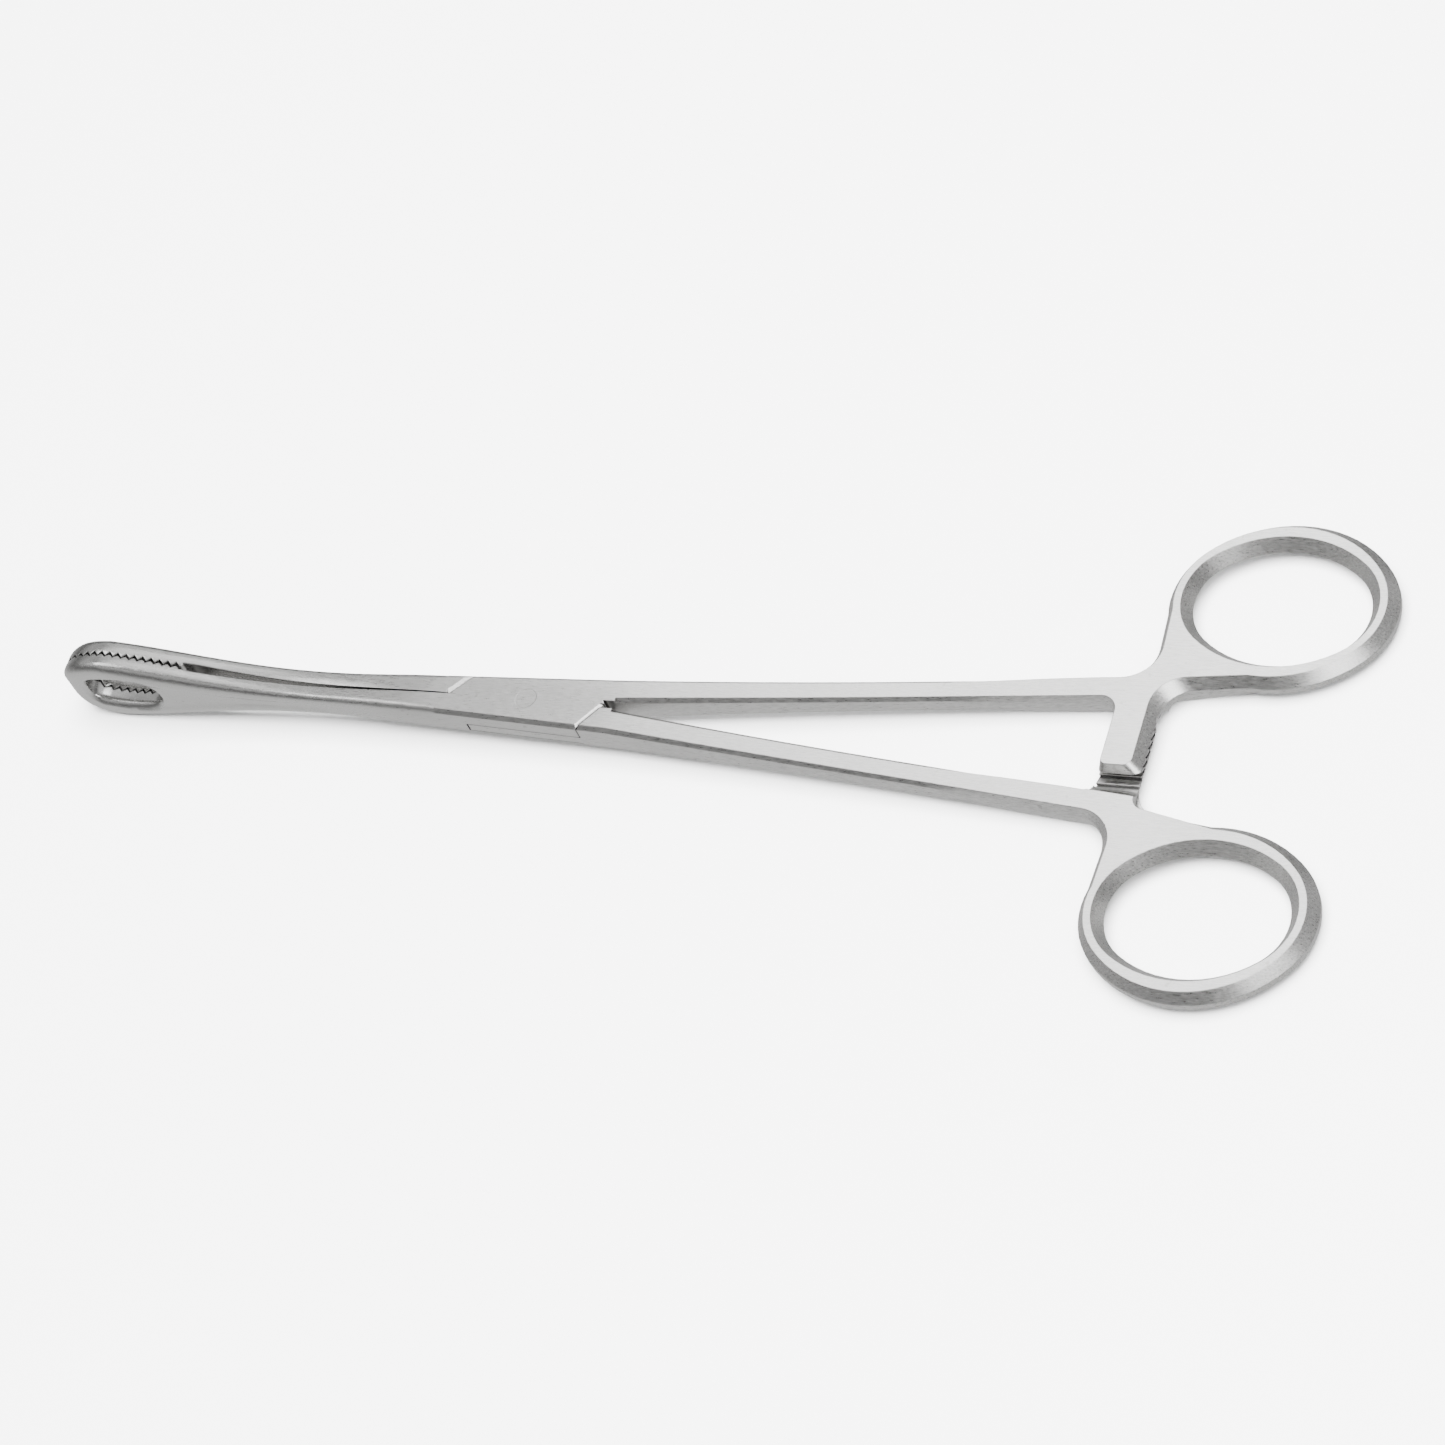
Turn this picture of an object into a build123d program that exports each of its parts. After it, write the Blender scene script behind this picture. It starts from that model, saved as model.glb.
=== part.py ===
from build123d import *
import math
import os

# Tissue forceps with finger rings, a box lock and toothed, windowed jaws.
# Sizes are in millimetres. The pivot axis is Z through the origin, and z = 0 is the middle plane.
# The jaws point to -X and the finger rings to +X.
# Each half is drawn with its jaw on the -Y side and its ring on the +Y side.
# The tongue half is then turned over about X, so that the two halves cross in the lock.

# Lock
LOCK_THICK = 4.8          # thickness over both cheeks
LOCK_HALF_WIDTH = 4.0     # centre line to the side of the lock, at the pivot
LOCK_TAPER = 0.045        # how much the lock widens towards the handles, for each millimetre
SHOULDER_SIDE = 9.4       # pivot to a shoulder, at the side of the lock
SHOULDER_MID = 12.6       # pivot to a shoulder, at the centre line
TONGUE_THICK = 1.4        # thickness of the tongue that runs through the box
TONGUE_DROP = 0.85        # middle plane down to the middle of the tongue
SLOT_PLAY = 0.08          # gap between the tongue and each cheek
SHOULDER_PLAY = 0.25      # gap between the shoulders of the two halves
SIDE_CHAMFER = 0.6        # chamfer along the sides of the lock
SHOULDER_CHAMFER = 0.4    # bevel on the box half's shoulder
ROOT_CHAMFER = 0.75       # bevel on the tongue half's shoulder, at the root of its jaw
HALF_GAP = 0.06           # centre line to each half beside the lock
PIN_RADIUS = 1.6          # hinge pin, flush with both cheeks
PIN_PLAY = 0.04           # running clearance of the tongue on the pin

# Jaws
TIP_REACH = 78.9          # pivot to the tip
JAW_HALF_HEIGHT = 6.35    # half height of the bow around the window
JAW_WIDTH = 3.05          # thickness of one jaw at the window
JAW_FLAT = 4.3            # half height of the flat outer face at the window
JAW_CROWN = 0.45          # place of the highest line across the jaw, as a share of its thickness
BAR_CROWN = 0.6           # the same along the slim part of the jaw
JAW_DROP = 0.6            # how far the rounded top falls towards the teeth
JAW_FLARE_AT = 57.0       # pivot to the place where the jaw begins to widen
JAW_FLARE_HEIGHT = 4.45   # half height there
JAW_FLARE_WIDTH = 2.9     # thickness there
JAW_FLARE_FLAT = 1.8      # half height of the flat outer face there
JAW_FLARE_DROP = 0.85     # fall of the rounded top there
JAW_WAIST_AT = 42.0       # pivot to the slimmest part
JAW_WAIST_HEIGHT = 2.45   # half height there
JAW_WAIST_WIDTH = 2.6     # thickness there
JAW_WAIST_FLAT = 0.5      # half height of the flat outer face there
JAW_WAIST_DROP = 1.1      # fall of the rounded top there
JAW_NECK_AT = 23.0        # pivot to the end of the jaw's square root
JAW_NECK_HEIGHT = 2.35    # half height there
JAW_NECK_WIDTH = 3.1      # thickness there
JAW_NECK_FLAT = 1.3       # half height of the flat outer face there
JAW_NECK_DROP = 0.5       # fall of the rounded top there
NOSE_AT = 70.0            # pivot to the highest part of the bow, where the nose begins
NOSE_STEPS = (0, 0.42, 0.7, 0.88, 0.975)  # sections of the nose, as shares of its length
JAW_GAP = 0.55            # widest gap from the centre line to a closed jaw
JAW_GAP_AT = 50.0         # pivot to that widest gap
WINDOW_AT = 68.2          # pivot to the middle of the window
WINDOW_LONG = 6.7         # half length of the window at the outer face
WINDOW_HIGH = 3.4         # half height of the window at the outer face
WINDOW_END = 2.75         # radius of the window's ends
WINDOW_FLARE = 0.5        # how much the window grows towards the teeth
WINDOW_LIP = 0.8          # rounded lip around the window
TOOTH_PITCH = 1.36        # spacing of the teeth along the jaw
TOOTH_DEPTH = 0.7         # height of a tooth
TOOTH_PLAY = 0.14         # gap between meshing teeth at the tip
HEEL_PLAY = 0.44          # gap between the teeth at the heel, as the tips meet first

# Handles
RING_REACH = 107.2        # pivot to the middle of a finger ring
RING_SPREAD = 25.15       # centre line to the middle of a finger ring
RING_TURN = -3.1          # turn of the ring's long axis, in degrees
RING_LONG = 12.7          # half length of the finger opening at the middle plane
RING_HIGH = 9.6           # half width of the finger opening at the middle plane
RING_END = 8.0            # radius of the opening's ends
RING_BAND_END = 3.7       # width of the ring at its ends, at the middle plane
RING_BAND_SIDE = 4.3      # width of the ring at its sides, at the middle plane
RING_THICK = 3.8          # thickness of the rings
RING_WALL = 0.5           # middle plane to the top of the upright outer wall
SHANK_SLIM_AT = 62.0      # pivot to the slimmest part of the shank
SHANK_THICK = 3.1         # thickness there
SHANK_CHAMFER = 0.5       # chamfer along the shank
SHANK_STEPS = 10          # flats that make up the hollow line of the shank
SHANK_ROOT = 4.0          # width of the shank at the lock
SHANK_WAIST = 3.4         # width of the shank where it is slimmest
SHANK_NECK = 3.8          # width of the shank at the ratchet
NECK_DROP = 1.6           # middle of the neck, inside the near edge of the ring
SHANK_BEVEL = 0.4         # slope of the shank's sides, from the middle plane to the flat face
RING_BEVEL = 1.25         # the same on the outside of the ring
RING_LEAN = 0.3           # how much further the slope runs at the far end of the ring
BORE_BEVEL = 1.4          # the same inside the ring
ARM_BEVEL_FRONT = 0.35    # the same on the jaw side of the ratchet arm
ARM_BEVEL_BACK = 1.4      # the same on the ring side of the ratchet arm
ARM_BEVEL_END = 0.75      # the same on the end of the ratchet arm
NECK_LENGTH = 7.1         # middle of the arm back to the place where shank and neck meet

# Ratchet
ARM_WIDTH = 6.2           # width of a ratchet arm at the middle plane
ARM_SETBACK = 0.0         # middle of the arm, in front of the end of the ring
BOX_ARM_REACH = 4.15      # how far the box half's arm crosses the centre line
TONGUE_ARM_REACH = 5.1    # how far the tongue half's arm crosses the centre line
RATCHET_PITCH = 1.5       # spacing of the ratchet teeth
RATCHET_DEPTH = 0.55      # height of a ratchet tooth
RATCHET_PLAY = 0.06       # middle plane to the tips of the ratchet teeth
COVE_RADIUS = 2.8         # hollow between the neck and the arm, where the other arm runs in
COVE_WIDTH = 2.4          # neck to the foot of the hollow

TOP = LOCK_THICK / 2
RING_TOP = RING_THICK / 2
RING_A = RING_LONG + RING_BAND_END
RING_MID = RING_REACH + RING_LEAN
RING_B = RING_HIGH + RING_BAND_SIDE
ARM_MID = RING_MID - RING_A - ARM_SETBACK
NECK_START = ARM_MID - NECK_LENGTH
NECK_Y = RING_SPREAD - RING_B - NECK_DROP
ROOT_X = SHOULDER_MID + 1.4
COVE_FOOT = NECK_Y - SHANK_NECK / 2 - COVE_WIDTH


def oval(long, high, end):
    """Oval of four arcs: two ends of one radius and two flatter sides."""
    side = ((long - end) ** 2 + high ** 2 - end ** 2) / (2 * (high - end))
    drop = side - high
    lean = side / (side - end)
    px = (long - end) * lean
    py = drop * (lean - 1)
    right = ThreePointArc((px, -py), (long, 0), (px, py))
    top = ThreePointArc((px, py), (0, high), (-px, py))
    left = ThreePointArc((-px, py), (-long, 0), (-px, -py))
    base = ThreePointArc((-px, -py), (0, -high), (px, -py))
    return make_face([right, top, left, base])


def nearest(shape, x, y):
    """Corner of a flat shape that lies closest to a point."""
    return sorted(shape.vertices(), key=lambda v: (v.X - x) ** 2 + (v.Y - y) ** 2)[0]


def neck_line(x):
    """Middle line of the shank, straight from the lock to the ratchet."""
    root_y = side_at(ROOT_X) - SHANK_ROOT / 2
    slope = (NECK_Y - root_y) / (ARM_MID - ROOT_X)
    return root_y + slope * (x - ROOT_X)


def neck_outline(level, reach):
    """Plan of the neck and the ring, and of the ratchet arm where it has a reach.
    The level is 0 on the middle plane and 1 on the flat face."""
    shank = SHANK_BEVEL * level
    ring = RING_BEVEL * level
    near = RING_SPREAD - RING_B
    middle_x = RING_MID - RING_LEAN * level
    left = middle_x - RING_A + ring
    inner_start = (NECK_START, neck_line(NECK_START) - SHANK_NECK / 2 + shank)
    outer_start = (NECK_START, neck_line(NECK_START) + SHANK_NECK / 2 - shank)
    corner = (left + 0.9, neck_line(left + 0.9) + SHANK_NECK / 2 - shank)
    arm_right = ARM_MID + ARM_WIDTH / 2 - ARM_BEVEL_BACK * level
    arm_left = ARM_MID - ARM_WIDTH / 2 + ARM_BEVEL_FRONT * level
    under = (middle_x + 1.8, near + ring + 0.5)
    flank = (left + 0.25, RING_SPREAD - 0.7)
    if reach:
        end = -reach + ARM_BEVEL_END * level
        turn = (arm_right, near + ring - 1.4)
        bend = (arm_left, neck_line(arm_left) - SHANK_NECK / 2 + shank)
        lower = Polyline(bend, (arm_left, end), (arm_right, end), turn, under)
        rounds = [(bend, 2.4), ((arm_left, end), 0.9), ((arm_right, end), 1.3), (turn, 5.0), (corner, 5.5)]
    else:
        arm_right = ARM_MID + ARM_WIDTH / 2
        turn = (arm_right + 0.5, near - 1.35)
        bend = (arm_left, neck_line(arm_left) - SHANK_NECK / 2 + shank)
        lower = Polyline(bend, (arm_left, COVE_FOOT), (arm_right, COVE_FOOT), turn, under)
        rounds = [(bend, COVE_WIDTH / 2), (turn, 1.8), (corner, 5.5)]
    upper = Polyline(under, (middle_x, RING_SPREAD), flank, corner, outer_start, inner_start, bend)
    plan = make_face([*lower.edges(), *upper.edges()])
    for place, radius in rounds:
        plan = fillet(nearest(plan, *place), radius)
    ring_oval = oval(RING_A - ring, RING_B - ring, RING_END + RING_BAND_END - ring)
    return plan + Pos(middle_x, RING_SPREAD) * Rot(0, 0, RING_TURN) * ring_oval


def bevelled_section(at, wide, high, cut, deep):
    """Cross section of the shank: a rectangle with a bevel on each of its four edges."""
    corner = [(wide / 2, high / 2 - deep), (wide / 2 - cut, high / 2)]
    top = corner + [(-y, z) for y, z in reversed(corner)]
    foot = [(-y, -z) for y, z in top]
    return Plane.YZ.offset(at) * Pos(neck_line(at), 0) * make_face(Polyline(*top, *foot, close=True))


def shank_section(at):
    """The shank grows from its slimmest part to the lock on one side and to the neck on the other.
    Its bevels take on those of the lock's sides and of the neck."""
    if at < SHANK_SLIM_AT:
        near = ((SHANK_SLIM_AT - at) / (SHANK_SLIM_AT - ROOT_X)) ** 2
        end = (SHANK_ROOT, LOCK_THICK, SIDE_CHAMFER, SIDE_CHAMFER)
    else:
        near = (at - SHANK_SLIM_AT) / (NECK_START - SHANK_SLIM_AT)
        near = near ** 2 * (3 - 2 * near)
        end = (SHANK_NECK, RING_THICK, SHANK_BEVEL, RING_TOP - RING_WALL)
    slim = (SHANK_WAIST, SHANK_THICK, SHANK_CHAMFER, SHANK_CHAMFER)
    return bevelled_section(at, *[thin + (thick - thin) * near for thin, thick in zip(slim, end)])


def shank():
    """The shank, from the lock to the neck."""
    step = (NECK_START - ROOT_X) / SHANK_STEPS
    return loft([shank_section(ROOT_X + step * number) for number in range(SHANK_STEPS + 1)], ruled=True)


def finger_opening():
    """Finger opening, narrowest at the middle plane."""
    place = Pos(RING_REACH, RING_SPREAD) * Rot(0, 0, RING_TURN)
    waist = place * oval(RING_LONG, RING_HIGH, RING_END)
    rim = place * oval(RING_LONG + BORE_BEVEL, RING_HIGH + BORE_BEVEL, RING_END + BORE_BEVEL)
    upper = loft([waist, Pos(0, 0, RING_TOP) * rim], ruled=True)
    lower = loft([waist, Pos(0, 0, -RING_TOP) * rim], ruled=True)
    return upper + lower


def ratchet_teeth(reach):
    """Room below the arm, cut to a row of saw teeth that face the other arm."""
    count = int((reach + NECK_Y - SHANK_NECK) / RATCHET_PITCH)
    low = RATCHET_PLAY
    high = RATCHET_PLAY + RATCHET_DEPTH
    first = -reach
    points = [(first - 1, -1), (first - 1, high)]
    for tooth in range(count):
        at = first + tooth * RATCHET_PITCH
        points += [(at, high), (at + RATCHET_PITCH, low)]
    end = first + count * RATCHET_PITCH
    points += [(end, high), (end + 0.8, high), (end + 0.8, -1)]
    face = make_face(Polyline(*points, close=True))
    room = extrude(Plane.YZ * face, ARM_WIDTH / 2 + 0.2, both=True)
    return Pos(ARM_MID, 0, 0) * room


def cove():
    """Hollow from the foot of the neck up to its flat face, where the other arm runs in."""
    along = neck_line(1) - neck_line(0)
    bar = extrude(Plane.YZ * Circle(COVE_RADIUS), 2 * ARM_WIDTH, both=True)
    bar = bar & Pos(ARM_WIDTH / 2, 0, 0) * Box(2.35 * ARM_WIDTH, 4 * COVE_RADIUS, 4 * COVE_RADIUS)
    place = Pos(ARM_MID, COVE_FOOT, -COVE_RADIUS - RATCHET_PLAY)
    return place * Rot(0, 0, math.degrees(math.atan(along))) * bar


def handle(reach):
    """Shank, neck and ring with the ratchet arm above the middle plane."""
    with_arm = neck_outline(0, reach)
    without = neck_outline(0, 0)
    body = extrude(with_arm, RING_WALL) + extrude(without, -RING_WALL)
    body += loft([Pos(0, 0, RING_WALL) * with_arm, Pos(0, 0, RING_TOP) * neck_outline(1, reach)], ruled=True)
    body += loft([Pos(0, 0, -RING_WALL) * without, Pos(0, 0, -RING_TOP) * neck_outline(1, 0)], ruled=True)
    body = body - finger_opening() - ratchet_teeth(reach) - cove()
    return body + shank()


def jaw_section(at, width, height, flat, drop, crown):
    """Cross section of a jaw: a flat outer face, and a top that is rounded over a crown line."""
    inside = TOOTH_DEPTH
    seam = (inside, height - drop)
    crest = (-crown * width, height)
    crease = (-width, flat)
    half = [*TangentArc(crest, seam, tangent=(1, 0)).edges()]
    half += TangentArc(crest, crease, tangent=(-1, 0)).edges()
    foot = [mirror(e, about=Plane.XZ) for e in half]
    ends = [Line(crease, (-width, -flat)), Line((inside, drop - height), seam)]
    return Plane.YZ.offset(-at) * make_face([*half, *foot, *ends])


def nose_section(share):
    """Cross section of the nose, which shrinks like an ellipse seen from the side."""
    side = (1 - share ** 2) ** 0.5
    above = (1 - share ** 4) ** 0.5
    at = NOSE_AT + share * (TIP_REACH - NOSE_AT)
    height, flat, drop = [size * side for size in (JAW_HALF_HEIGHT, JAW_FLAT, JAW_DROP)]
    return jaw_section(at, JAW_WIDTH * above, height, flat, drop, JAW_CROWN)


def tooth_play(at):
    """Gap between the two rows of teeth, which narrows from the heel to the tip."""
    return HEEL_PLAY + (TOOTH_PLAY - HEEL_PLAY) * (at - JAW_FLARE_AT) / (TIP_REACH - JAW_FLARE_AT)


def inner_face(turned):
    """Everything on the far side of the closed jaw's inner face, with the row of teeth.
    The turned half has its teeth half a pitch along, so that the rows mesh."""
    side = -1 if turned else 1
    count = int((TIP_REACH - JAW_FLARE_AT) / TOOTH_PITCH) + 1
    start = (-SHOULDER_MID, -HALF_GAP)
    wide = (-JAW_GAP_AT, -JAW_GAP)
    base = (-JAW_FLARE_AT, -TOOTH_DEPTH / 2 - HEEL_PLAY / 2)
    row = []
    for tooth in range(2 * count):
        along = JAW_FLARE_AT + (tooth + 0.5) * TOOTH_PITCH / 2
        up = side * (1 if tooth % 2 else -1)
        row.append((-along, up * TOOTH_DEPTH / 2 - tooth_play(along) / 2))
    last = row[-1]
    slope = Spline(start, wide, base, tangents=[(-1, -0.01), (-1, 0.06)])
    rows = Polyline(base, *row, (last[0], 5), (-SHOULDER_MID, 5), start)
    return extrude(make_face([slope, *rows.edges()]), 20, both=True)


def jaw_window():
    """Oval window through a jaw, a little larger towards the teeth, with a rounded lip outside."""
    base = Plane(origin=(-WINDOW_AT, 0, 0), x_dir=(1, 0, 0), z_dir=(0, -1, 0))
    steps = ((-TOOTH_DEPTH, WINDOW_FLARE), (JAW_WIDTH - 1.6 * WINDOW_LIP, 0))
    hole = [base.offset(depth) * window_oval(grow) for depth, grow in steps]
    lips = ((JAW_WIDTH - 1.6 * WINDOW_LIP, 0), (JAW_WIDTH - 0.6 * WINDOW_LIP, 0.25 * WINDOW_LIP))
    lips += ((JAW_WIDTH, WINDOW_LIP), (JAW_WIDTH + WINDOW_LIP, 3 * WINDOW_LIP))
    lip = [base.offset(depth) * window_oval(grow) for depth, grow in lips]
    return loft(hole, ruled=True) + loft(lip)


def window_oval(grow):
    """Outline of the window, grown by a margin."""
    return oval(WINDOW_LONG - WINDOW_LIP / 2 + grow, WINDOW_HIGH - WINDOW_LIP / 2 + grow, WINDOW_END + grow)


def jaw(turned):
    """One jaw, from the lock to the toothed bow around the window."""
    side = side_at(1 - ROOT_X)
    soft = 1.7 * SIDE_CHAMFER
    root = jaw_section(ROOT_X - 1, side, TOP, TOP - soft, HALF_GAP, 1 - soft / side)
    neck = (JAW_NECK_AT, JAW_NECK_WIDTH, JAW_NECK_HEIGHT, JAW_NECK_FLAT, JAW_NECK_DROP, BAR_CROWN)
    waist = (JAW_WAIST_AT, JAW_WAIST_WIDTH, JAW_WAIST_HEIGHT, JAW_WAIST_FLAT, JAW_WAIST_DROP, BAR_CROWN)
    flare = (JAW_FLARE_AT, JAW_FLARE_WIDTH, JAW_FLARE_HEIGHT, JAW_FLARE_FLAT, JAW_FLARE_DROP, JAW_CROWN)
    bar = loft([root, jaw_section(*neck), jaw_section(*waist), jaw_section(*flare), nose_section(0)])
    nose = loft([nose_section(share) for share in NOSE_STEPS])
    return bar + nose - inner_face(turned) - jaw_window()


def side_at(x):
    """Half width of the lock at a distance from the pivot."""
    return LOCK_HALF_WIDTH + LOCK_TAPER * x


def lock_roots():
    """Full-thickness roots of the jaw and of the shank, up to the shoulders."""
    points = [(-ROOT_X, -side_at(-ROOT_X)), (-SHOULDER_SIDE, -side_at(-SHOULDER_SIDE))]
    points += [(-SHOULDER_MID, -HALF_GAP), (-ROOT_X, -HALF_GAP)]
    jaw_root = make_face(Polyline(*points, close=True))
    inner = side_at(ROOT_X) - SHANK_ROOT
    back = (inner - HALF_GAP) * (SHOULDER_MID - SHOULDER_SIDE) / (side_at(SHOULDER_SIDE) - HALF_GAP)
    points = [(SHOULDER_SIDE, side_at(SHOULDER_SIDE)), (SHOULDER_MID - back, inner)]
    points += [(ROOT_X, inner), (ROOT_X, side_at(ROOT_X))]
    shank_root = make_face(Polyline(*points, close=True))
    return jaw_root + shank_root


def lock_web():
    """Plan between the shoulders, with play where the other half's shoulders stand."""
    far_side = SHOULDER_SIDE - SHOULDER_PLAY
    far_mid = SHOULDER_MID - SHOULDER_PLAY
    points = [(-SHOULDER_MID, -HALF_GAP), (-SHOULDER_SIDE, -side_at(-SHOULDER_SIDE))]
    points += [(far_side, -side_at(far_side)), (far_mid, HALF_GAP)]
    points += [(SHOULDER_MID, HALF_GAP), (SHOULDER_SIDE, side_at(SHOULDER_SIDE))]
    points += [(-far_side, side_at(-far_side)), (-far_mid, -HALF_GAP)]
    return make_face(Polyline(*points, close=True))


def side_edges(body):
    """Long edges where the flat faces of the lock meet its sides."""
    flat = body.edges().filter_by(lambda e: abs(abs(e.center().Z) - TOP) < 0.01)
    return flat.filter_by(lambda e: abs(e.center().Y) > LOCK_HALF_WIDTH * 0.8 and abs((e @ 1 - e @ 0).X) > 1)


def shoulder_edges(body, inward):
    """Edges where the slanted shoulders meet the flat faces, at one end of the lock."""
    found = body.edges().filter_by(lambda e: abs(abs(e.center().Z) - TOP) < 0.01)
    slanted = found.filter_by(lambda e: abs((e @ 1 - e @ 0).X) > 1 and abs((e @ 1 - e @ 0).Y) > 2)
    return slanted.filter_by(lambda e: e.center().X * inward > 0)


def box_lock():
    """Lock part of the box half: two cheeks joined by the roots, with the slot between them."""
    plan = lock_roots() + lock_web()
    body = extrude(plan, TOP, both=True)
    body = chamfer(side_edges(body), SIDE_CHAMFER)
    body = chamfer(shoulder_edges(body, 1), SHOULDER_CHAMFER)
    return body


def slot():
    """Slot for the tongue, open on the sides where the tongue comes in and goes out."""
    out = 2 * LOCK_HALF_WIDTH
    end = ROOT_X + LOCK_HALF_WIDTH
    points = [(-SHOULDER_MID, 0), (-SHOULDER_SIDE, -side_at(-SHOULDER_SIDE)), (-SHOULDER_SIDE, -out)]
    points += [(end, -out), (end, 0), (SHOULDER_MID, 0), (SHOULDER_SIDE, side_at(SHOULDER_SIDE))]
    points += [(SHOULDER_SIDE, out), (-end, out), (-end, 0)]
    plan = make_face(Polyline(*points, close=True))
    return Pos(0, 0, -TONGUE_DROP) * extrude(plan, TONGUE_THICK / 2 + SLOT_PLAY, both=True)


def tongue_lock():
    """Lock part of the tongue half: the thin tongue between two full-thickness roots."""
    roots = extrude(lock_roots(), TOP, both=True)
    roots = chamfer(side_edges(roots), SIDE_CHAMFER)
    roots = chamfer(shoulder_edges(roots, -1), ROOT_CHAMFER)
    return roots + Pos(0, 0, TONGUE_DROP) * extrude(lock_web(), TONGUE_THICK / 2, both=True)


def box_half():
    body = box_lock() + handle(BOX_ARM_REACH) + jaw(False)
    return body - slot() - Cylinder(PIN_RADIUS, 2 * LOCK_THICK)


def tongue_half():
    body = tongue_lock() + handle(TONGUE_ARM_REACH) + jaw(True)
    body = body - Cylinder(PIN_RADIUS + PIN_PLAY, 2 * LOCK_THICK)
    return Rot(180, 0, 0) * body


def pivot_pin():
    return Cylinder(PIN_RADIUS, LOCK_THICK)


os.makedirs("parts", exist_ok=True)
for name, solid in (("box_half", box_half()), ("tongue_half", tongue_half()), ("pivot_pin", pivot_pin())):
    solid.label = name
    export_step(solid, f"parts/{name}.step")
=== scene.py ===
# %% [markdown]
# # Grasping forceps with finger rings
# A steel instrument of three solid pieces: a box half, a tongue half that passes through it, and a
# flush pin. The solids already carry the exact shape, so this lesson keeps them and works on what
# the eye reads as steel: soft edges, satin grain, polish on the jaws, and light to be reflected.

# %% Load the solids
import math
import bpy
from mathutils import Matrix, Vector


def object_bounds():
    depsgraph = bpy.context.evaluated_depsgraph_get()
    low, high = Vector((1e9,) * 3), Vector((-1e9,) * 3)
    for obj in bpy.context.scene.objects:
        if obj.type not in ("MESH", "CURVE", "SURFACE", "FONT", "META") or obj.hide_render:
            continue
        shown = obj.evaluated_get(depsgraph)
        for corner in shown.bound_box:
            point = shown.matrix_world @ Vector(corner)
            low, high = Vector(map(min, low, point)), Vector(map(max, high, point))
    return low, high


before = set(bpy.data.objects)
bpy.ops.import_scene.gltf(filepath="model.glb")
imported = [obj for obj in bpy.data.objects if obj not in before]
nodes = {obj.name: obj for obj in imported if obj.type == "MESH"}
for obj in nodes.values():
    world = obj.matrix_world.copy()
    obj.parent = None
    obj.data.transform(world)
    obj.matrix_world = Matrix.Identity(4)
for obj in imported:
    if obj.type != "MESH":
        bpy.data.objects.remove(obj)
solid_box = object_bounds()
print("pieces:", sorted(nodes))

# %% [markdown]
# The camera repeats the photograph's view: a long lens, high over the near ring and a little
# towards it. It could be placed by eye, but rows of numbers solved from the outline are closer.
# The columns of the matrix are the camera's right, up and back directions.

# %% Camera
PHOTO_SIDE = 1445
SENSOR = 36.0
FOCAL_PIXELS = 4405.6
NEAREST_SEEN = 0.01
CAMERA_AT = Vector((0.289129, -0.309423, 0.476613))
CAMERA_RIGHT = Vector((0.907678, 0.286541, -0.306618))
CAMERA_BACK = Vector((0.414309, -0.495459, 0.763458))


def photo_camera():
    data = bpy.data.cameras.new("photo_camera")
    data.sensor_width = SENSOR
    data.lens = FOCAL_PIXELS * SENSOR / PHOTO_SIDE
    data.clip_start = NEAREST_SEEN
    camera = bpy.data.objects.new("photo_camera", data)
    up = CAMERA_BACK.cross(CAMERA_RIGHT)
    turn = Matrix((CAMERA_RIGHT, up, CAMERA_BACK)).transposed()
    camera.matrix_world = Matrix.Translation(CAMERA_AT) @ turn.to_4x4()
    bpy.context.scene.collection.objects.link(camera)
    bpy.context.scene.camera = camera
    return camera


camera = photo_camera()
print("lens in millimetres:", round(camera.data.lens, 1))

# %% [markdown]
# The instrument lies on a pale floor. It touches the floor with the bow of its jaws and with the
# far ends of its rings. The jaws are thicker than the rings, so it lies a little nose up, and here
# the floor tilts instead, because the solids stay where they are. The floor is lit strongly enough to
# come out near white, and its mirror image would wash out the side walls of the steel. So it is
# hidden from glossy rays, and the lower half of the room stands for it in the reflections.

# %% Floor
JAW_CONTACT_X = -0.070
RING_CONTACT_X = 0.118
RING_BOTTOM = -0.0019
FLOOR_HALF = 3.0
FLOOR_WHITE = (0.95, 0.95, 0.95, 1)
FLOOR_ROUGHNESS = 0.8
FLOOR_SHEEN = 0.2


def pale_floor_material():
    material = bpy.data.materials.new("pale_floor")
    material.use_nodes = True
    shader = material.node_tree.nodes["Principled BSDF"]
    shader.inputs["Base Color"].default_value = FLOOR_WHITE
    shader.inputs["Roughness"].default_value = FLOOR_ROUGHNESS
    shader.inputs["Specular IOR Level"].default_value = FLOOR_SHEEN
    return material


def pale_floor():
    jaw_bottom = solid_box[0][2]
    slope = (RING_BOTTOM - jaw_bottom) / (RING_CONTACT_X - JAW_CONTACT_X)
    half = FLOOR_HALF
    outline = ((-half, -half), (half, -half), (half, half), (-half, half))
    corners = [(x, y, jaw_bottom + slope * (x - JAW_CONTACT_X)) for x, y in outline]
    mesh = bpy.data.meshes.new("floor")
    mesh.from_pydata(corners, [], [(0, 1, 2, 3)])
    mesh.materials.append(pale_floor_material())
    floor = bpy.data.objects.new("floor", mesh)
    bpy.context.scene.collection.objects.link(floor)
    floor.visible_glossy = False
    return floor


floor = pale_floor()
low, high = (floor.data.vertices[number].co for number in (0, 1))
print("floor slope in degrees:", round(math.degrees(math.atan2(high.z - low.z, high.x - low.x)), 2))

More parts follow.
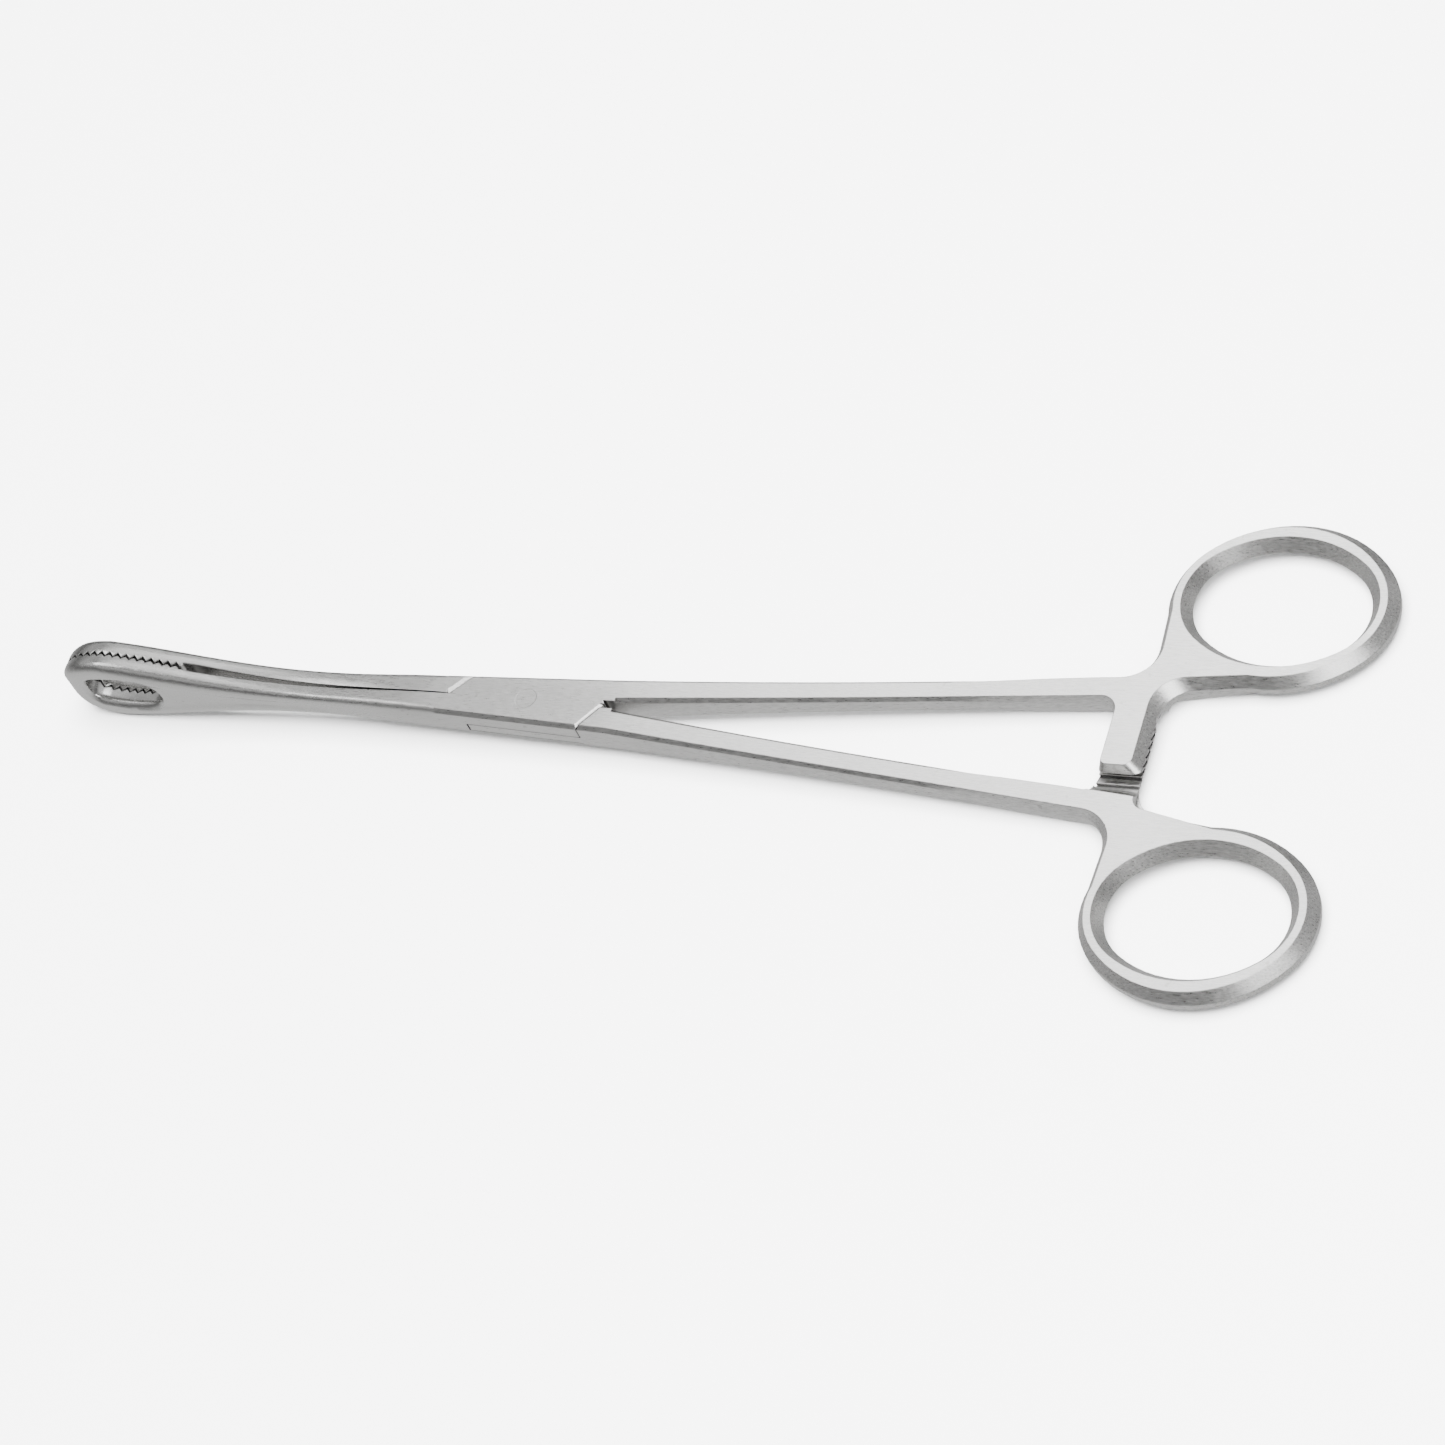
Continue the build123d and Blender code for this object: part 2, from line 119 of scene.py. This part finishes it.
# %% [markdown]
# Satin steel has no brightness of its own: each facet shows one patch of the room, blurred. The flat
# faces look up and away from the viewer, into the bright part, and the bevels on the near side look
# back over the viewer's shoulder, into the dark part. So the room is a ramp of greys along a tilted
# axis: a bright ceiling, grey walls, a dark band a little above the horizon, and a light lower half
# that stands for the floor. Each stop below is a place on the axis, from straight down at 0 to
# straight up at 1, and its brightness.
#
# Small soft boxes stand close by, so that each lights only its own stretch: the bevels of the lock,
# the rings and shanks, the crown of the jaws. A wide, weak one stands further off behind the
# instrument. The floor has a lamp of its own overhead, which the steel doesn't mirror.

# %% Light
ROOM_AXIS = (0.0, 0.3, 0.954)
ROOM_RAMP = (
    (0.0, 0.95), (0.3, 0.85), (0.48, 0.36), (0.62, 0.16), (0.7, 0.28), (0.78, 0.6),
    (0.86, 0.5), (0.92, 0.4), (0.965, 1.2), (1.0, 1.5),
)
LOCK_MIDDLE = (-0.004, 0, 0)
SHANK_MIDDLE = (0.03, 0, 0)
RINGS_MIDDLE = (0.13, 0.01, 0)
JAWS_MIDDLE = (-0.06, -0.003, 0)


def studio_room():
    world = bpy.data.worlds.new("studio_room")
    bpy.context.scene.world = world
    world.use_nodes = True
    tree = world.node_tree
    link = tree.links.new
    place = tree.nodes.new("ShaderNodeTexCoord")
    rise = tree.nodes.new("ShaderNodeVectorMath")
    rise.operation = "DOT_PRODUCT"
    rise.inputs[1].default_value = ROOM_AXIS
    span = tree.nodes.new("ShaderNodeMapRange")
    span.inputs["From Min"].default_value = -1.0
    ramp = tree.nodes.new("ShaderNodeValToRGB")
    stops = ramp.color_ramp.elements
    while len(stops) < len(ROOM_RAMP):
        stops.new(0.5)
    for stop, (position, bright) in zip(stops, ROOM_RAMP):
        stop.position = position
        stop.color = (bright, bright, bright, 1)
    link(place.outputs["Generated"], rise.inputs[0])
    link(rise.outputs["Value"], span.inputs["Value"])
    link(span.outputs["Result"], ramp.inputs["Fac"])
    link(ramp.outputs["Color"], tree.nodes["Background"].inputs["Color"])


def soft_box(name, aim, toward, distance, size, power):
    data = bpy.data.lights.new(name, "AREA")
    data.size = size
    data.energy = power
    lamp = bpy.data.objects.new(name, data)
    toward = Vector(toward).normalized()
    lamp.location = Vector(aim) + distance * toward
    lamp.rotation_euler = toward.to_track_quat("Z", "Y").to_euler()
    lamp.visible_camera = False
    bpy.context.scene.collection.objects.link(lamp)
    print(name, "stands", distance, "m from its aim")
    return lamp


studio_room()
soft_box("soft_box_lock", LOCK_MIDDLE, (0.7, -0.33, 0.63), distance=0.32, size=0.15, power=0.5)
soft_box("soft_box_far", SHANK_MIDDLE, (0.1, 0.8, 0.6), distance=1.1, size=1.7, power=3.2)
soft_box("soft_box_rings", RINGS_MIDDLE, (-0.305, 0.518, 0.8), distance=0.36, size=0.24, power=0.6)
soft_box("soft_box_jaws", JAWS_MIDDLE, (-0.523, -0.03, 0.851), distance=0.3, size=0.1, power=0.1)
floor_lamp = soft_box("floor_lamp", SHANK_MIDDLE, (0, 0, 1), distance=1.6, size=1.6, power=220.0)
floor_lamp.visible_glossy = False

# %% [markdown]
# Edges: a real edge is never perfectly sharp, and the thin bright line it catches tells the eye that
# the piece is metal. The solids come as loose triangles, so a small tree of Geometry Nodes welds
# them and marks as sharp only the edges that bend by more than a set angle.

# %% Shading tree for the solids
WELD_DISTANCE = 1e-6
SHARP_DEGREES = 26


def smooth_tree():
    tree = bpy.data.node_groups.new("weld_and_smooth", "GeometryNodeTree")
    tree.interface.new_socket("Geometry", in_out="INPUT", socket_type="NodeSocketGeometry")
    gap = tree.interface.new_socket("Weld Distance", in_out="INPUT", socket_type="NodeSocketFloat")
    gap.default_value = WELD_DISTANCE
    bend = tree.interface.new_socket("Sharp Angle", in_out="INPUT", socket_type="NodeSocketFloat")
    bend.default_value = math.radians(SHARP_DEGREES)
    tree.interface.new_socket("Geometry", in_out="OUTPUT", socket_type="NodeSocketGeometry")
    entry = tree.nodes.new("NodeGroupInput")
    leave = tree.nodes.new("NodeGroupOutput")
    weld = tree.nodes.new("GeometryNodeMergeByDistance")
    faces = tree.nodes.new("GeometryNodeSetShadeSmooth")
    edges = tree.nodes.new("GeometryNodeSetShadeSmooth")
    faces.domain = "FACE"
    edges.domain = "EDGE"
    angle = tree.nodes.new("GeometryNodeInputMeshEdgeAngle")
    below = tree.nodes.new("FunctionNodeCompare")
    below.data_type = "FLOAT"
    below.operation = "LESS_THAN"
    link = tree.links.new
    link(entry.outputs["Geometry"], weld.inputs["Geometry"])
    link(entry.outputs["Weld Distance"], weld.inputs["Distance"])
    link(weld.outputs["Geometry"], faces.inputs["Geometry"])
    link(faces.outputs["Geometry"], edges.inputs["Geometry"])
    link(angle.outputs["Unsigned Angle"], below.inputs[0])
    link(entry.outputs["Sharp Angle"], below.inputs[1])
    link(below.outputs["Result"], edges.inputs["Shade Smooth"])
    link(edges.outputs["Geometry"], leave.inputs["Geometry"])
    return tree


smooth = smooth_tree()
for name, piece in nodes.items():
    modifier = piece.modifiers.new("weld_and_smooth", "NODES")
    modifier.node_group = smooth
    print(name, "triangles:", len(piece.data.polygons))

# %% [markdown]
# Satin grain is a fine noise, drawn out along the strokes of the belt that finished the steel, about
# seven times as long as it is wide. Both halves and the pin share it, so it is a node group with its
# sizes as inputs. It puts out three masks: strokes for the tint, the roughness and the bump, clouds
# for slow changes of tint, and specks for a few dark pits.

# %% Grain group
STROKE_DETAIL = 6
STROKE_HARSHNESS = 0.65
CLOUD_DETAIL = 3
SPECK_FINENESS = 700
SPECK_DETAIL = 1
SPECK_THRESHOLD = 0.72
SPECK_CONTRAST = 14.0


def math_node(tree, operation, first, second):
    node = tree.nodes.new("ShaderNodeMath")
    node.operation = operation
    for socket, value in zip(node.inputs, (first, second)):
        if isinstance(value, (int, float)):
            socket.default_value = value
        else:
            tree.links.new(value, socket)
    return node.outputs[0]


def grain_group():
    tree = bpy.data.node_groups.new("satin_grain", "ShaderNodeTree")
    for name, value in (("Fineness", 5000.0), ("Stretch", 0.14), ("Cloud", 90.0)):
        socket = tree.interface.new_socket(name, in_out="INPUT", socket_type="NodeSocketFloat")
        socket.default_value = value
    for name in ("Strokes", "Clouds", "Specks"):
        tree.interface.new_socket(name, in_out="OUTPUT", socket_type="NodeSocketFloat")
    entry = tree.nodes.new("NodeGroupInput")
    leave = tree.nodes.new("NodeGroupOutput")
    place = tree.nodes.new("ShaderNodeTexCoord")
    link = tree.links.new

    stretch = tree.nodes.new("ShaderNodeCombineXYZ")
    link(entry.outputs["Stretch"], stretch.inputs["X"])
    stretch.inputs["Y"].default_value = 1.0
    stretch.inputs["Z"].default_value = 1.0
    drawn = tree.nodes.new("ShaderNodeVectorMath")
    drawn.operation = "MULTIPLY"
    link(place.outputs["Object"], drawn.inputs[0])
    link(stretch.outputs["Vector"], drawn.inputs[1])
    strokes = tree.nodes.new("ShaderNodeTexNoise")
    strokes.inputs["Detail"].default_value = STROKE_DETAIL
    strokes.inputs["Roughness"].default_value = STROKE_HARSHNESS
    link(drawn.outputs["Vector"], strokes.inputs["Vector"])
    link(entry.outputs["Fineness"], strokes.inputs["Scale"])

    clouds = tree.nodes.new("ShaderNodeTexNoise")
    clouds.inputs["Detail"].default_value = CLOUD_DETAIL
    link(place.outputs["Object"], clouds.inputs["Vector"])
    link(entry.outputs["Cloud"], clouds.inputs["Scale"])

    specks = tree.nodes.new("ShaderNodeTexNoise")
    specks.inputs["Scale"].default_value = SPECK_FINENESS
    specks.inputs["Detail"].default_value = SPECK_DETAIL
    link(place.outputs["Object"], specks.inputs["Vector"])
    over = math_node(tree, "SUBTRACT", specks.outputs[0], SPECK_THRESHOLD)
    sharp = math_node(tree, "MULTIPLY", over, SPECK_CONTRAST)
    kept = math_node(tree, "MAXIMUM", sharp, 0.0)
    kept = math_node(tree, "MINIMUM", kept, 1.0)

    link(strokes.outputs[0], leave.inputs["Strokes"])
    link(clouds.outputs[0], leave.inputs["Clouds"])
    link(kept, leave.inputs["Specks"])
    return tree


grain = grain_group()
print("grain outputs:", [s.name for s in grain.interface.items_tree if s.in_out == "OUTPUT"])

# %% [markdown]
# The steel itself is a metallic shader. Its colour is a neutral grey that the strokes mottle, hardly
# on the jaws and more towards the rings. Its roughness follows the strokes too, and the jaws are
# buffed smoother than the handles, so it falls towards the tip. Each of these changes with the place
# along the instrument, between two distances from the pin, so one helper makes them all.
#
# Seams and the roots of teeth get painted shade: their colour is darkened where something stands
# within half a millimetre. A Bevel node rounds the normals at the edges by 0.18 mm, and by twice that
# on the jaws, which no amount of bump on a flat face could do. The pin has nearly sharp edges, so
# that its rim stays unseen in the ground face of the lock.

# %% Steel
DARK_STROKE = (0.6, 0.6, 0.59)
BRIGHT_STROKE = (1.4, 1.39, 1.37)
PIT_TINT = (0.45, 0.44, 0.42)
PIT_SHARE = 0.35
CLOUD_SHARE = 0.2
TINT_BASE = 0.4
NOISE_MIDDLE = 0.5
MOTTLE_FROM, MOTTLE_TO = -0.06, 0.09
MOTTLE_ON_JAWS, MOTTLE_ON_RINGS = 0.3, 1.9
# painted shade: a near-black colour that ambient occlusion mixes into seams and creases
CREASE_SHADE_COLOUR = (0.02, 0.02, 0.022, 1)
CREASE_SHADE_REACH = 0.0005
CREASE_SHADE_POWER = 1.5
POLISH_FULL, POLISH_NONE = -0.045, -0.015
STREAK_IN_ROUGHNESS = 0.5
SOFTEST_EDGE, PLAIN_EDGE = -0.06, -0.03
JAW_EDGE_FACTOR = 2
BUMP_STRENGTH = 0.5
STROKE_HEIGHT = 0.000008
RAY_SAMPLES = 8


def ramp_along(tree, start, end, value_at_start, value_at_end):
    place = tree.nodes.new("ShaderNodeTexCoord")
    split = tree.nodes.new("ShaderNodeSeparateXYZ")
    tree.links.new(place.outputs["Object"], split.inputs["Vector"])
    along = tree.nodes.new("ShaderNodeMapRange")
    along.interpolation_type = "SMOOTHSTEP"
    along.inputs["From Min"].default_value = start
    along.inputs["From Max"].default_value = end
    along.inputs["To Min"].default_value = value_at_start
    along.inputs["To Max"].default_value = value_at_end
    tree.links.new(split.outputs["X"], along.inputs["Value"])
    return along.outputs["Result"]


def colour_mix(tree):
    node = tree.nodes.new("ShaderNodeMix")
    node.data_type = "RGBA"
    return node


def shaded(tone, tint):
    return (*(tone * channel for channel in tint), 1)


def steel(name, tone, rough, polish, edge):
    material = bpy.data.materials.new(name)
    material.use_nodes = True
    tree = material.node_tree
    link = tree.links.new
    shader = tree.nodes["Principled BSDF"]
    shader.inputs["Metallic"].default_value = 1.0

    finish = tree.nodes.new("ShaderNodeGroup")
    finish.node_tree = grain

    tint = colour_mix(tree)
    tint.inputs["A"].default_value = shaded(tone, DARK_STROKE)
    tint.inputs["B"].default_value = shaded(tone, BRIGHT_STROKE)
    cloudy = math_node(tree, "MULTIPLY", finish.outputs["Clouds"], CLOUD_SHARE)
    centred = math_node(tree, "SUBTRACT", finish.outputs["Strokes"], NOISE_MIDDLE)
    mottle = ramp_along(tree, MOTTLE_FROM, MOTTLE_TO, MOTTLE_ON_JAWS, MOTTLE_ON_RINGS)
    stroked = math_node(tree, "MULTIPLY", centred, mottle)
    paint = math_node(tree, "ADD", math_node(tree, "ADD", cloudy, stroked), TINT_BASE)
    link(paint, tint.inputs["Factor"])
    pit = colour_mix(tree)
    pit.inputs["B"].default_value = shaded(tone, PIT_TINT)
    link(tint.outputs["Result"], pit.inputs["A"])
    link(math_node(tree, "MULTIPLY", finish.outputs["Specks"], PIT_SHARE), pit.inputs["Factor"])
    # painted shade: ambient occlusion darkens the colour in the seams of the lock and at the roots of
    # the teeth
    crease_shade = tree.nodes.new("ShaderNodeAmbientOcclusion")
    crease_shade.samples = RAY_SAMPLES
    crease_shade.inputs["Distance"].default_value = CREASE_SHADE_REACH
    unshaded_share = math_node(tree, "POWER", crease_shade.outputs["AO"], CREASE_SHADE_POWER)
    shade = colour_mix(tree)
    shade.inputs["A"].default_value = CREASE_SHADE_COLOUR
    link(unshaded_share, shade.inputs["Factor"])
    link(pit.outputs["Result"], shade.inputs["B"])
    link(shade.outputs["Result"], shader.inputs["Base Color"])

    streak = math_node(tree, "MULTIPLY", centred, STREAK_IN_ROUGHNESS)
    buffed = ramp_along(tree, POLISH_FULL, POLISH_NONE, polish, rough)
    link(math_node(tree, "ADD", buffed, streak), shader.inputs["Roughness"])

    soft = tree.nodes.new("ShaderNodeBevel")
    soft.samples = RAY_SAMPLES
    radius = ramp_along(tree, SOFTEST_EDGE, PLAIN_EDGE, edge * JAW_EDGE_FACTOR, edge)
    link(radius, soft.inputs["Radius"])
    relief = tree.nodes.new("ShaderNodeBump")
    relief.inputs["Strength"].default_value = BUMP_STRENGTH
    relief.inputs["Distance"].default_value = STROKE_HEIGHT
    link(finish.outputs["Strokes"], relief.inputs["Height"])
    link(soft.outputs["Normal"], relief.inputs["Normal"])
    link(relief.outputs["Normal"], shader.inputs["Normal"])
    return material


satin = steel("satin_steel", tone=0.62, rough=0.34, polish=0.22, edge=0.00018)
pin_steel = steel("pin_steel", tone=0.61, rough=0.34, polish=0.34, edge=0.00003)
for name, piece in nodes.items():
    piece.data.materials.clear()
    piece.data.materials.append(pin_steel if name == "pivot_pin" else satin)
    print(name, "is of", piece.data.materials[0].name)
